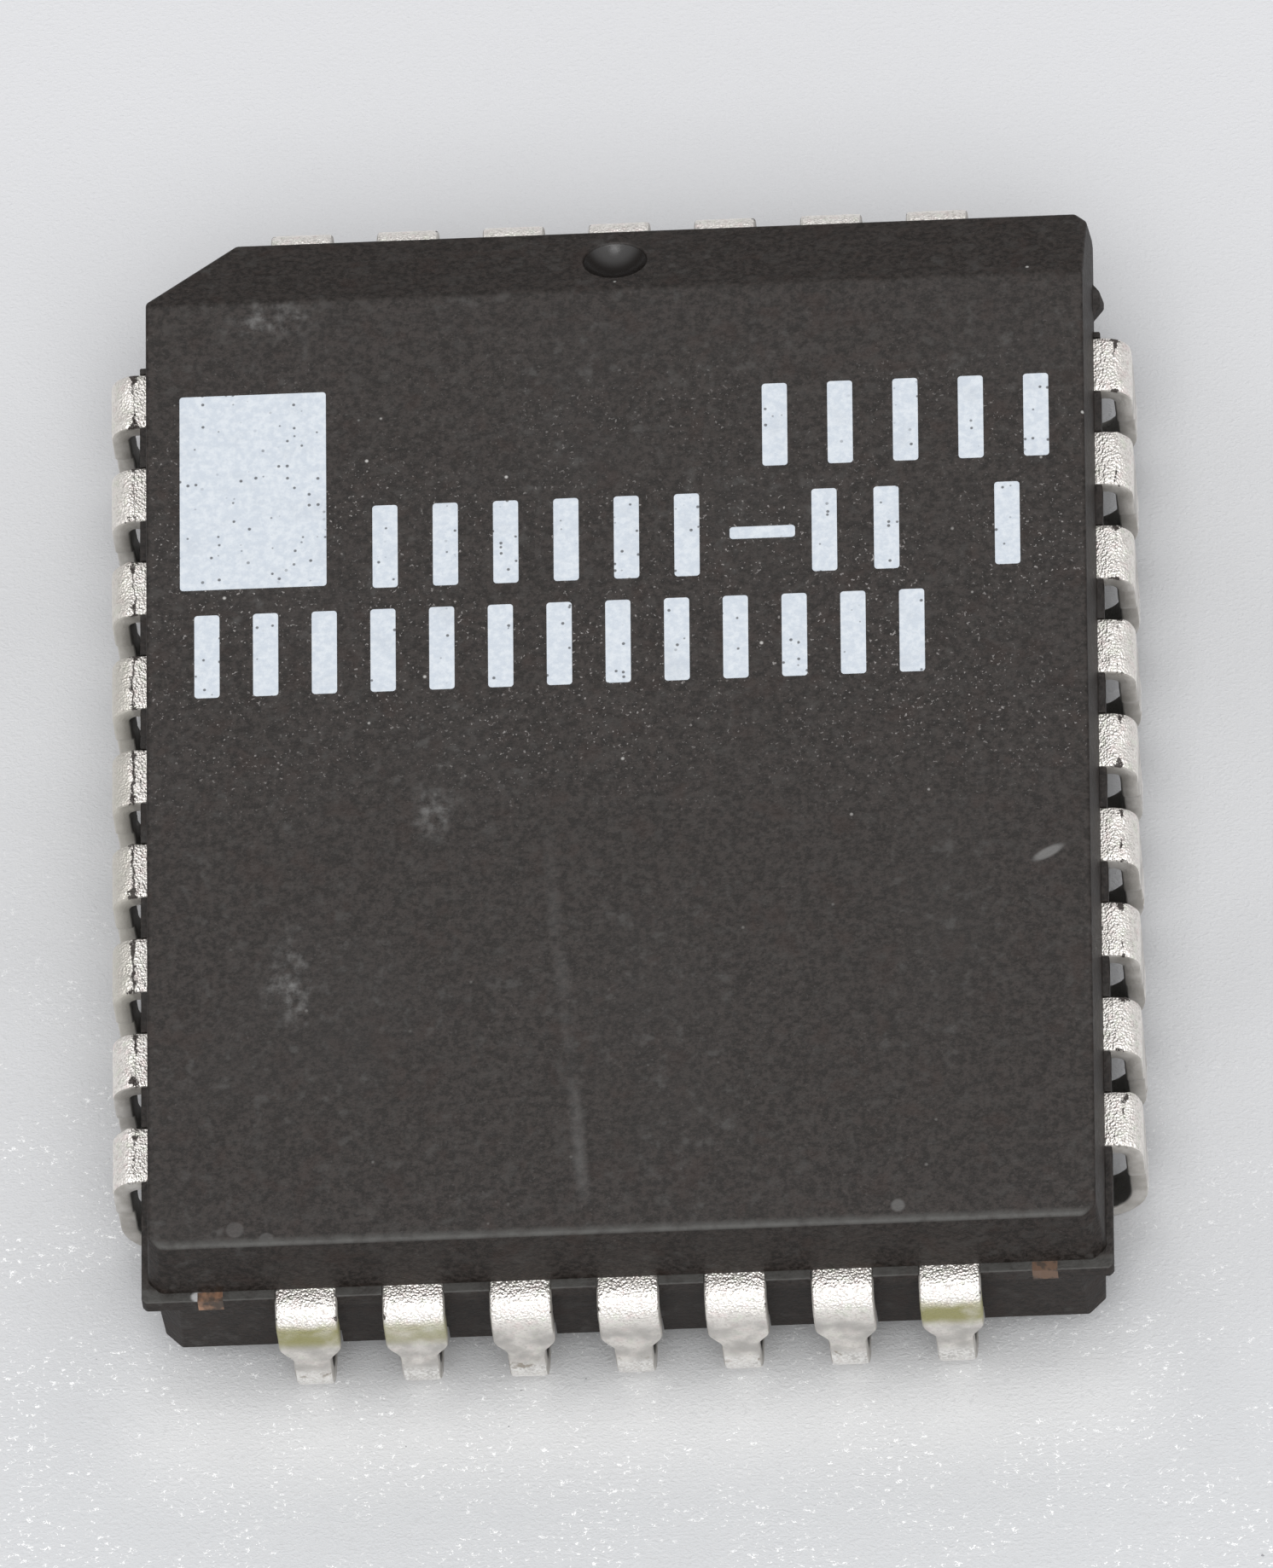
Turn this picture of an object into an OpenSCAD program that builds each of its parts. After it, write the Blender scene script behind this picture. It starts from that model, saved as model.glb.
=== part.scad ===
// Leaded chip carrier: a moulded block with a row of J shaped leads on all four sides.
// Millimetres. +Z is up and the seating plane, on which the lead feet stand, is z = 0.
// The origin is the middle of the footprint. X runs along the short ends of the block,
// and +Y points to the end that has lead 1 in its middle.
// Seen from above, the leads are numbered counter-clockwise.

/* [Lead rows] */
// Number of leads along each long side
side_count = 9; // [7:1:13]
// Number of leads along each short end
end_count = 7; // [5:2:13]
// Distance from one lead to the next
pitch = 1.27; // [1.25:0.01:1.5]

/* [Moulded body] */
// Room from the middle of a short end's last lead to the long side's shoulder line
corner_w = 1.865; // [1.7:0.005:3]
// Room from the middle of a long side's last lead to the short end's shoulder line
corner_l = 1.865; // [1.7:0.005:3]
// Height of the top faces of the leads above the seating plane
shoulder_z = 2.15; // [2.05:0.01:2.6]
// Height of the body above the shoulders
upper_h = 1.03; // [0.8:0.01:1.6]
// Gap between the seating plane and the underside
standoff = 0.56; // [0.4:0.01:0.7]
// Draft of the sides above the shoulders, in degrees
upper_draft = 4; // [1:0.5:8]
// Draft of the sides below the shoulders, in degrees
lower_draft = 3; // [1:0.5:8]
// Step in from the shoulder line where the lower half begins
parting_step = 0.02; // [0:0.01:0.1]
// Plastic left between the leads, past the long sides
fin_side = 0.08; // [0.02:0.01:0.1]
// Plastic left between the leads, past the short ends
fin_end = 0.12; // [0.02:0.01:0.13]
// How far that plastic runs on past the last leads at the lead 1 end
fin_past = 0.08; // [0.03:0.01:0.2]
// Chamfer of its two corners at the other end
fin_cut = 0.05; // [0.02:0.01:0.2]
// Chamfer of the three plain upright corners above the leads
corner_cut = 0.15; // [0.05:0.01:0.4]
// Chamfer of these corners below the leads
lower_cut = 0.34; // [0.2:0.01:0.5]
// Narrow chamfer round the top face
rim_cut = 0.04; // [0.01:0.01:0.1]

/* [Lead 1 marks] */
// Chamfer of the upright corner to the left of lead 1
index_cut = 1.14; // [0.8:0.01:1.3]
// How far the slope over lead 1 reaches back from the end
slope_run = 1.15; // [0.8:0.01:1.5]
// How far the slope drops at the end
slope_drop = 0.61; // [0.3:0.01:0.7]
// Diameter of the dimple in the slope
dimple_d = 0.79; // [0.5:0.01:1]
// Depth of the dimple
dimple_deep = 0.18; // [0.03:0.01:0.25]

/* [Mould marks] */
// Diameter of the ejector pin's print in the underside
ejector_d = 3; // [1:0.1:5]
// Depth of that print
ejector_deep = 0.06; // [0.02:0.01:0.2]
// Width of the gate scar at its root
gate_w = 0.42; // [0.2:0.01:0.8]
// How far the gate scar stands out past the shoulder line
gate_out = 0.13; // [0.02:0.01:0.2]
// Distance of the gate scar from the body's end with lead 1
gate_back = 0.97; // [0.7:0.01:1.1]

/* [Leads] */
// Thickness of the sheet that the leads and the paddle are stamped from
sheet_t = 0.22; // [0.18:0.01:0.28]
// Width of a lead at its shoulder
shoulder_w = 0.735; // [0.6:0.005:0.81]
// Width of a lead at its foot
foot_w = 0.45; // [0.33:0.01:0.53]
// How far a lead reaches past the shoulder line of the body
lead_reach = 0.44; // [0.42:0.005:0.6]
// Outside radius of the bend at the shoulder
bend_r = 0.32; // [0.26:0.01:0.34]
// Outside radius of the J's foot
foot_r = 0.7; // [0.6:0.01:0.8]
// How far the foot curls past its lowest point, in degrees
foot_curl = 72; // [40:1:80]
// Depth below the shoulder where the lead starts to narrow
narrow_from = 0.74; // [0.35:0.01:0.85]
// Depth below the shoulder where the lead has its foot width
narrow_to = 1.06; // [0.9:0.01:1.3]
// Room left beside a foot and behind its tip in the underside pockets
pocket_gap = 0.11; // [0.05:0.01:0.15]
// Height of the pockets above the underside
pocket_h = 0.34; // [0.2:0.01:0.5]

/* [Inner fingers] */
// Length of the wide anchor of each lead inside the body
anchor_in = 0.35; // [0.2:0.01:0.6]
// Width of a finger behind its anchor
finger_w = 0.42; // [0.3:0.01:0.5]
// Distance from the shoulder line to where a finger turns to the paddle
finger_in = 0.95; // [0.7:0.01:1.1]
// Width of a finger at its tip
tip_w = 0.3; // [0.2:0.01:0.35]
// Gap between the paddle and the finger tips
tip_gap = 0.45; // [0.3:0.01:0.6]
// Gap between the outermost finger tips and the tie bars at the paddle's corners
tip_clear = 0.2; // [0.15:0.01:0.4]

/* [Paddle and chip] */
// How far the paddle that carries the chip reaches past the chip
paddle_rim = 0.45; // [0.2:0.01:0.6]
// How far the paddle is pressed down below the leads
paddle_down = 0.3; // [0.1:0.01:0.5]
// Width of the tie bars that carry the paddle
tie_w = 0.3; // [0.2:0.01:0.35]
// Length of the straight outer stretch of a tie bar
tie_straight = 0.6; // [0.3:0.01:0.9]
// Length of a tie bar's slope down to the paddle
tie_slope = 0.4; // [0.3:0.01:0.6]
// Width of the chip
die_w = 3.9; // [3.2:0.1:4.2]
// Length of the chip
die_l = 6.1; // [5.4:0.1:6.4]
// Thickness of the chip
die_t = 0.35; // [0.25:0.01:0.4]
// Thickness of the adhesive under the chip
glue_t = 0.04; // [0.02:0.01:0.06]
// How far the adhesive shows round the chip
glue_rim = 0.1; // [0.05:0.01:0.15]

/* [Bond wires] */
// Thickness of a wire
wire_d = 0.03; // [0.02:0.005:0.05]
// Height of a wire's loop above the chip
loop_h = 0.25; // [0.15:0.01:0.4]
// Diameter of the ball at the chip's end of a wire
ball_d = 0.08; // [0.06:0.01:0.1]
// Height of that ball
ball_h = 0.02; // [0.01:0.005:0.04]
// Distance of the balls from the chip's edge
pad_in = 0.12; // [0.08:0.01:0.2]
// Distance of the outermost balls from the chip's corner
pad_inset = 0.35; // [0.2:0.01:0.6]
// Distance of a wire's other end from the finger's tip
land_in = 0.15; // [0.1:0.01:0.3]
// Numbers of the leads that carry no wire
unwired = [1, 12, 17, 26];

/* [Hidden] */
$fn = 64;
eps = 0.01;
lead_count = 2 * (side_count + end_count);
sheet_z = shoulder_z - sheet_t;
top_z = shoulder_z + upper_h;
slope_edge_z = top_z - slope_drop;
paddle_z = sheet_z - paddle_down;
glue_z = paddle_z + sheet_t;
die_z = glue_z + glue_t;
die_top_z = die_z + die_t;
loop_z = die_top_z + loop_h;
paddle_w = die_w + 2 * paddle_rim;
paddle_l = die_l + 2 * paddle_rim;
tip_inset = tie_w + tip_clear + tip_w / 2;
pocket_w = foot_w + 2 * pocket_gap;

// The leads' places are counted counter-clockwise from the near end of the right side.
// The four sides are 0 right, 1 far, 2 left and 3 near, a quarter turn from each to the next.
lead_1_place = side_count + (end_count - 1) / 2;
row_starts = [0, side_count, side_count + end_count, 2 * side_count + end_count];
function place_of(number) = (number - 1 + lead_1_place) % lead_count;
function side_of(place) = place < row_starts[1] ? 0 : place < row_starts[2] ? 1 : place < row_starts[3] ? 2 : 3;
function row_count(side) = side % 2 == 0 ? side_count : end_count;
function row_half(side) = (row_count(side) - 1) / 2 * pitch;
function row_offset(place) = (place - row_starts[side_of(place)]) * pitch - row_half(side_of(place));

// Half sizes seen from one side: how far out a thing reaches, and how far along.
function outward(side, w, l) = (side % 2 == 0 ? w : l) / 2;
function along(side, w, l) = (side % 2 == 0 ? l : w) / 2;
function edge_of(side) = outward(side, body_w, body_l);

// The body is as large as its rows of leads and the corners past them make it.
body_w = 2 * (row_half(1) + corner_w);
body_l = 2 * (row_half(0) + corner_l);

// A finger's tip, and the point where it turns towards that tip.
function turn_point(place) = [edge_of(side_of(place)) - finger_in, row_offset(place)];
function tip_spread(side) = (along(side, paddle_w, paddle_l) - tip_inset) / row_half(side);
function tip_point(place) = [
    outward(side_of(place), paddle_w, paddle_l) + tip_gap,
    row_offset(place) * tip_spread(side_of(place))
];

// The two ends of a wire: its ball on the chip and its landing on the finger.
function pad_spread(side) = (along(side, die_w, die_l) - pad_inset) / row_half(side);
function pad_point(place) = [
    outward(side_of(place), die_w, die_l) - pad_in,
    row_offset(place) * pad_spread(side_of(place))
];
function landing_point(place) =
    let (tip = tip_point(place), turn = turn_point(place))
    tip + (turn - tip) * land_in / (turn.x - tip.x);

// The tie bars' cut ends are in the middle of the fin between the end rows and the corners.
tie_x = (row_half(1) + shoulder_w / 2 + body_w / 2 + fin_side - fin_cut) / 2;

function is_wired(number) = len([for (n = unwired) if (n == number) n]) == 0;

function two_digits(number) = number < 10 ? str("0", number) : str(number);
function lead_name(number) = str("lead_", two_digits(number));
wire_names = ["bond_wires_right", "bond_wires_far", "bond_wires_left", "bond_wires_near"];

// Turns what is drawn for the right side, outward along +X, to any side.
module on_side(side) {
    rotate([0, 0, 90 * side]) children();
}

// Extrudes a profile drawn in X and Z, evenly to both sides of Y.
module extrude_along_y(width) {
    rotate([90, 0, 0]) linear_extrude(width, center = true) children();
}

// Extrudes a profile drawn in Y and Z, evenly to both sides of X.
module extrude_along_x(width) {
    rotate([90, 0, 90]) linear_extrude(width, center = true) children();
}

// A bend of the lead's strip about an axis along Y, between two angles from outward.
module strip_bend(centre, outer_r, from_angle, to_angle) {
    translate([centre.x, 0, centre.y]) rotate([90, 0, 0]) rotate([0, 0, from_angle])
        rotate_extrude(angle = to_angle - from_angle)
            translate([outer_r - sheet_t, -shoulder_w / 2]) square([sheet_t, shoulder_w]);
}

// The J, from the shoulder line outwards: the flat shoulder, the bend, the leg and the foot.
module j_strip() {
    translate([-anchor_in, -shoulder_w / 2, sheet_z])
        cube([anchor_in + lead_reach - bend_r, shoulder_w, sheet_t]);
    strip_bend([lead_reach - bend_r, shoulder_z - bend_r], bend_r, 0, 90);
    translate([lead_reach - sheet_t, -shoulder_w / 2, foot_r])
        cube([sheet_t, shoulder_w, shoulder_z - bend_r - foot_r]);
    strip_bend([lead_reach - foot_r, foot_r], foot_r, -90 - foot_curl, 0);
}

// Front view of a lead: its wide shoulder narrows to the foot.
module lead_front() {
    polygon([
        [-shoulder_w / 2, shoulder_z + eps],
        [-shoulder_w / 2, shoulder_z - narrow_from],
        [-foot_w / 2, shoulder_z - narrow_to],
        [-foot_w / 2, -eps],
        [foot_w / 2, -eps],
        [foot_w / 2, shoulder_z - narrow_to],
        [shoulder_w / 2, shoulder_z - narrow_from],
        [shoulder_w / 2, shoulder_z + eps]
    ]);
}

// Plan of a lead's inner finger, from its anchor by a straight stretch and a turn to the tip.
module finger_plan(place) {
    start = [edge_of(side_of(place)) - anchor_in / 2, row_offset(place)];
    turn = turn_point(place);
    tip = tip_point(place);
    half = [0, finger_w / 2];
    tip_half = [0, tip_w / 2];
    polygon([start - half, start + half, turn + half, tip + tip_half, tip - tip_half, turn - half]);
}

module lead(number) {
    place = place_of(number);
    side = side_of(place);
    color("gainsboro") on_side(side) {
        translate([edge_of(side), row_offset(place), 0]) intersection() {
            j_strip();
            extrude_along_x(4 * foot_r) lead_front();
        }
        translate([0, 0, sheet_z]) linear_extrude(sheet_t) finger_plan(place);
    }
}

// Plan of the body with its upright corners cut, the lead 1 corner by its own amount.
module body_plan(half_w, half_l, plain_cut, lead_1_cut) {
    polygon([
        [half_w, -half_l + plain_cut],
        [half_w, half_l - plain_cut],
        [half_w - plain_cut, half_l],
        [-half_w + lead_1_cut, half_l],
        [-half_w, half_l - lead_1_cut],
        [-half_w, -half_l + plain_cut],
        [-half_w + plain_cut, -half_l],
        [half_w - plain_cut, -half_l]
    ]);
}

// Plan of the body at the height of the leads. The thin fin of plastic that the mould leaves
// runs between the leads and round the plain end, and stops short of the lead 1 end's corners.
module fin_plan() {
    far_w = row_half(1) + shoulder_w / 2 + fin_past;
    far_l = row_half(0) + shoulder_w / 2 + fin_past;
    reach_w = body_w / 2 + fin_side;
    reach_l = body_l / 2 + fin_end;
    body_plan(body_w / 2, body_l / 2, corner_cut, index_cut);
    translate([-far_w, 0]) square([2 * far_w, reach_l]);
    polygon([
        [reach_w, far_l],
        [-reach_w, far_l],
        [-reach_w, -reach_l + fin_cut],
        [-reach_w + fin_cut, -reach_l],
        [reach_w - fin_cut, -reach_l],
        [reach_w, -reach_l + fin_cut]
    ]);
}

// Half the body's width where a drafted side has risen or sunk by some depth.
function drafted(half, draft, depth) = half - depth * tan(draft);

// The body above the leads. Its side view has the slope over lead 1.
module upper_half() {
    half_w = body_w / 2;
    half_l = body_l / 2;
    rim_z = top_z - rim_cut;
    rim_w = drafted(half_w, upper_draft, upper_h - rim_cut);
    rim_l = drafted(half_l, upper_draft, upper_h - rim_cut);
    intersection() {
        extrude_along_y(2 * body_l) polygon([
            [-half_w, shoulder_z],
            [half_w, shoulder_z],
            [rim_w, rim_z],
            [rim_w - rim_cut, top_z],
            [-rim_w + rim_cut, top_z],
            [-rim_w, rim_z]
        ]);
        extrude_along_x(2 * body_w) polygon([
            [-half_l, shoulder_z],
            [half_l, shoulder_z],
            [drafted(half_l, upper_draft, upper_h - slope_drop), slope_edge_z],
            [half_l - slope_run, top_z],
            [-rim_l + rim_cut, top_z],
            [-rim_l, rim_z]
        ]);
        translate([0, 0, sheet_z]) linear_extrude(2 * upper_h)
            body_plan(half_w, half_l, corner_cut, index_cut);
    }
}

// The body below the leads.
module lower_half() {
    half_w = body_w / 2 - parting_step;
    half_l = body_l / 2 - parting_step;
    depth = sheet_z - standoff;
    base_w = drafted(half_w, lower_draft, depth);
    base_l = drafted(half_l, lower_draft, depth);
    intersection() {
        extrude_along_y(2 * body_l)
            polygon([[-half_w, sheet_z], [-base_w, standoff], [base_w, standoff], [half_w, sheet_z]]);
        extrude_along_x(2 * body_w)
            polygon([[-half_l, sheet_z], [-base_l, standoff], [base_l, standoff], [half_l, sheet_z]]);
        linear_extrude(shoulder_z) body_plan(half_w, half_l, lower_cut, index_cut);
    }
}

// The space in the underside that each lead's foot curls into.
module foot_pocket() {
    inner = lead_reach - foot_r - foot_r * sin(foot_curl) - pocket_gap;
    roof = standoff + pocket_h;
    extrude_along_y(pocket_w) polygon([
        [inner, standoff - eps],
        [inner, standoff + pocket_h / 3],
        [inner + pocket_h / 2, roof],
        [lead_reach, roof],
        [lead_reach, standoff - eps]
    ]);
}

// The dimple is cut square to the slope, in its middle, by a ball.
module dimple() {
    slope_low = [drafted(body_l / 2, upper_draft, upper_h - slope_drop), slope_edge_z];
    slope_high = [body_l / 2 - slope_run, top_z];
    slope = slope_high - slope_low;
    slope_up = [slope.y, -slope.x] / norm(slope);
    ball_r = (pow(dimple_d / 2, 2) + pow(dimple_deep, 2)) / (2 * dimple_deep);
    centre = (slope_low + slope_high) / 2 + slope_up * (ball_r - dimple_deep);
    translate([0, centre.x, centre.y]) sphere(ball_r);
}

// What the mould's gate left when it was broken off: a stub that tapers to its torn end.
module gate_scar() {
    translate([body_w / 2, body_l / 2 - gate_back, sheet_z]) linear_extrude(sheet_t) polygon([
        [-gate_out, -gate_w / 2],
        [0, -gate_w / 2],
        [gate_out, -gate_w / 5],
        [gate_out, gate_w / 5],
        [0, gate_w / 2],
        [-gate_out, gate_w / 2]
    ]);
}

// The moulding before anything is cut into it.
module body_blank() {
    upper_half();
    translate([0, 0, sheet_z]) linear_extrude(sheet_t) fin_plan();
    lower_half();
    gate_scar();
}

// The print of the ejector pin in the middle of the underside.
module ejector_print() {
    translate([0, 0, standoff - eps]) cylinder(d = ejector_d, h = ejector_deep + eps);
}

// The body fills all the room round the leads, the paddle and the chip. The thin wires
// are cut out of it after the rest.
module moulded_body() {
    color("dimgray") difference() {
        difference() {
            body_blank();
            dimple();
            ejector_print();
            for (place = [0:lead_count - 1]) on_side(side_of(place))
                translate([edge_of(side_of(place)), row_offset(place), 0]) foot_pocket();
            for (number = [1:lead_count]) lead(number);
            die_paddle();
            die_adhesive();
            memory_die();
        }
        for (side = [0:3]) bond_wires(side);
    }
}

// One tie bar, from its cut end at the fin to the paddle's corner.
module tie_bar() {
    fin_y = body_l / 2 + fin_end;
    turn_y = fin_y - tie_straight;
    corner_x = paddle_w / 2 - tie_w / 2;
    slope_y = paddle_l / 2 + tie_slope;
    translate([0, 0, sheet_z]) linear_extrude(sheet_t) polygon([
        [tie_x - tie_w / 2, fin_y],
        [tie_x - tie_w / 2, turn_y],
        [corner_x - tie_w / 2, slope_y],
        [corner_x + tie_w / 2, slope_y],
        [tie_x + tie_w / 2, turn_y],
        [tie_x + tie_w / 2, fin_y]
    ]);
    translate([corner_x, 0, 0]) extrude_along_x(tie_w) polygon([
        [paddle_l / 2, paddle_z],
        [slope_y, sheet_z],
        [slope_y, shoulder_z],
        [paddle_l / 2, glue_z]
    ]);
}

// The paddle with its four tie bars, stamped from the same sheet as the leads.
module die_paddle() {
    color("peru") intersection() {
        union() {
            translate([-paddle_w / 2, -paddle_l / 2, paddle_z]) cube([paddle_w, paddle_l, sheet_t]);
            for (x = [0, 1], y = [0, 1]) mirror([x, 0, 0]) mirror([0, y, 0]) tie_bar();
        }
        linear_extrude(top_z) fin_plan();
    }
}

// A flat block standing on some height, centred on the axis.
module centred_slab(w, l, t, z) {
    translate([-w / 2, -l / 2, z]) cube([w, l, t]);
}

module die_adhesive() {
    color("silver") centred_slab(die_w + 2 * glue_rim, die_l + 2 * glue_rim, glue_t, glue_z);
}

module memory_die() {
    color("slategray") centred_slab(die_w, die_l, die_t, die_z);
}

// A straight stretch of wire between two points of its side view.
module wire_stretch(from, to) {
    run = to - from;
    translate(from) rotate(atan2(run.y, run.x)) translate([0, -wire_d / 2]) square([norm(run), wire_d]);
}

// Side view of one wire: up from the ball, along the loop and down to the finger.
module wire_profile(span) {
    rise = [0, loop_z - wire_d / 2];
    crest = [span / 3, loop_z - wire_d / 2];
    landing = [span, shoulder_z];
    difference() {
        union() {
            wire_stretch([0, die_top_z], rise);
            wire_stretch(rise, crest);
            wire_stretch(crest, landing);
            for (bend = [rise, crest, landing]) translate(bend) circle(d = wire_d, $fn = 8);
        }
        translate([-span, shoulder_z - 1]) square([3 * span, 1]);
    }
}

module bond_wire(place) {
    pad = pad_point(place);
    run = landing_point(place) - pad;
    translate([pad.x, pad.y, 0]) rotate([0, 0, atan2(run.y, run.x)]) {
        translate([0, 0, die_top_z]) cylinder(d = ball_d, h = ball_h, $fn = 12);
        extrude_along_y(wire_d) wire_profile(norm(run));
    }
}

// All the wires that run to the fingers of one side.
module bond_wires(side) {
    color("gold") on_side(side)
        for (number = [1:lead_count])
            if (side_of(place_of(number)) == side && is_wired(number)) bond_wire(place_of(number));
}

moulded_body();
die_paddle();
die_adhesive();
memory_die();
for (side = [0:3]) bond_wires(side);
for (number = [1:lead_count]) lead(number);
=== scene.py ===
"""Looks of a leaded chip carrier: moulding, formed leads, printed marks, finishes, light and camera."""
import math

import bmesh
import bpy
from mathutils import Matrix, Vector


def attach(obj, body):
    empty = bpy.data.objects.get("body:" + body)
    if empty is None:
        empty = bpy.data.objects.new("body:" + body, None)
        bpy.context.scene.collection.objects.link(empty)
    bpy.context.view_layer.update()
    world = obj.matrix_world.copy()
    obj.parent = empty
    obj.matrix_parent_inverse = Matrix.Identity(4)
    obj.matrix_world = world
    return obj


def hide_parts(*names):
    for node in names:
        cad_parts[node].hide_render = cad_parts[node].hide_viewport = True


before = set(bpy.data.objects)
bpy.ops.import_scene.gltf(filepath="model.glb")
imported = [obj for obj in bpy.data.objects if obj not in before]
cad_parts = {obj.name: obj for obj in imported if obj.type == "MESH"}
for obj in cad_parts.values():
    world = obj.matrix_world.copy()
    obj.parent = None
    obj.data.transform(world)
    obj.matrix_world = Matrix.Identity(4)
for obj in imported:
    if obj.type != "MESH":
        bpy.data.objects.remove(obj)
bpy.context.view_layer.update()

# Everything is made in millimetres and brought to metres when its mesh is done.
MM = 0.001

# Heights of the moulding above the seating plane, and the drafts of its walls, as in the part's source.
SHOULDER_Z = 2.15
TOP_Z = 3.18
STANDOFF = 0.56
SHEET = 0.22
SHEET_Z = SHOULDER_Z - SHEET
UPPER_DRAFT = math.radians(4)
LOWER_DRAFT = math.radians(3)

# Outline of the moulding at the shoulder line, and how far the fin stands out past it.
HALF_W = 5.675
HALF_L = 6.945
PARTING_STEP = 0.02
FIN_SIDE = 0.08
FIN_END = 0.12
FIN_PAST = 0.08

# Chamfers of its upright corners.
FIN_CUT = 0.05
CORNER_CUT = 0.15
LOWER_CUT = 0.34
INDEX_CUT = 1.14

# Slope over lead 1, its dimple, the gate's stub and the ejector pin's print below.
SLOPE_RUN = 1.15
SLOPE_DROP = 0.61
DIMPLE_ACROSS = 0.79
DIMPLE_DEEP = 0.18
GATE_W = 0.42
GATE_OUT = 0.13
GATE_BACK = 0.97
PIN_R = 1.5
PIN_DEEP = 0.06

# Rounding of the edges.
EDGE_ROUND = 0.04
FIN_ROUND = 0.02

# Sizes of the leads.
PITCH = 1.27
SIDE_COUNT = 9
END_COUNT = 7
SHOULDER_W = 0.735
FOOT_W = 0.45
REACH = 0.44
BEND_R = 0.32
FOOT_R = 0.7
FOOT_CURL = math.radians(72)
NARROW_FROM = 0.74
NARROW_TO = 1.06
ANCHOR_IN = 0.35
FINGER_W = 0.42
FINGER_IN = 0.95
TIP_W = 0.3
TIP_GAP = 0.45
TIP_INSET = 0.65

# What the leads' fingers and feet meet: paddle, tie bars and pockets.
PADDLE_HALF_W = 2.4
PADDLE_HALF_L = 3.5
TIE_X = 4.94125
TIE_W = 0.3
POCKET_W = 0.67
POCKET_GAP = 0.11
POCKET_H = 0.34

# The sides of the moulding, in the order in which the leads are numbered.
RIGHT, FAR, LEFT, NEAR = range(4)

# How far past the shoulder line the plating is cracked, how badly on each side (below 0 is not at
# all), the leads that differ from their side, and how strongly some leads are stained.
CRACK_AT = {RIGHT: 0.2, FAR: 0.3, LEFT: 0.145, NEAR: 0.3}
CRACKED = {RIGHT: 0.68, FAR: -1.0, LEFT: 1.0, NEAR: -1.0}
LESS_CRACKED = {5: 0.8, 6: 0.8, 7: 0.88, 12: 0.7, 13: 0.66}
STAINED = {14: 1.0, 15: 0.7, 20: 1.0}


class Recipe:
    """Adds nodes to one tree, each wired to what feeds it as it is made."""

    def __init__(self, tree):
        self.tree = tree

    def feed(self, socket, value):
        if isinstance(value, bpy.types.NodeSocket):
            self.tree.links.new(value, socket)
        else:
            socket.default_value = value

    def add(self, kind, feeds=None, **settings):
        made = self.tree.nodes.new(kind)
        for name, value in settings.items():
            setattr(made, name, value)
        for name, value in (feeds or {}).items():
            self.feed(made.inputs[name], value)
        return made

    def calc(self, operation, a, b=0.0):
        return self.add("ShaderNodeMath", {0: a, 1: b}, operation=operation).outputs[0]

    def times(self, first, *others):
        for other in others:
            first = self.calc("MULTIPLY", first, other)
        return first

    def plus(self, a, b):
        return self.calc("ADD", a, b)

    def minus(self, a, b):
        return self.calc("SUBTRACT", a, b)

    def larger(self, a, b):
        return self.calc("MAXIMUM", a, b)

    def unsigned(self, value):
        return self.calc("ABSOLUTE", value)

    def clamped(self, value, low, high):
        return self.calc("MINIMUM", self.larger(value, low), high)

    def ramp(self, value, low, high, from_value=0.0, to_value=1.0, smooth=True):
        """Goes from one value to another while the input goes from low to high."""
        kind = "SMOOTHSTEP" if smooth else "LINEAR"
        feeds = {0: value, 1: low, 2: high, 3: from_value, 4: to_value}
        return self.add("ShaderNodeMapRange", feeds, interpolation_type=kind).outputs[0]

    def blend(self, share, a, b):
        """Mixes two colours."""
        feeds = {0: share, 6: a, 7: b}
        return self.add("ShaderNodeMix", feeds, data_type="RGBA").outputs[2]

    def noise(self, point, scale, detail=2.0, roughness=0.5):
        feeds = {"Vector": point, "Scale": scale, "Detail": detail, "Roughness": roughness}
        return self.add("ShaderNodeTexNoise", feeds).outputs[0]

    def cells(self, point, scale):
        """Distance from the nearest of many scattered points, and three numbers drawn for each point."""
        made = self.add("ShaderNodeTexVoronoi", {"Vector": point, "Scale": scale})
        return made.outputs["Distance"], self.parts(made.outputs["Color"])

    def scaled(self, point, factor):
        made = self.add("ShaderNodeVectorMath", {0: point}, operation="SCALE")
        self.feed(made.inputs["Scale"], factor)
        return made.outputs[0]

    def shifted(self, point, by):
        return self.add("ShaderNodeVectorMath", {0: point, 1: by}, operation="ADD").outputs[0]

    def parts(self, point):
        made = self.add("ShaderNodeSeparateXYZ", {0: point})
        return made.outputs[0], made.outputs[1], made.outputs[2]

    def joined(self, x, y, z):
        return self.add("ShaderNodeCombineXYZ", {0: x, 1: y, 2: z}).outputs[0]


def rgb(red, green, blue):
    return (red, green, blue, 1.0)


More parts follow.
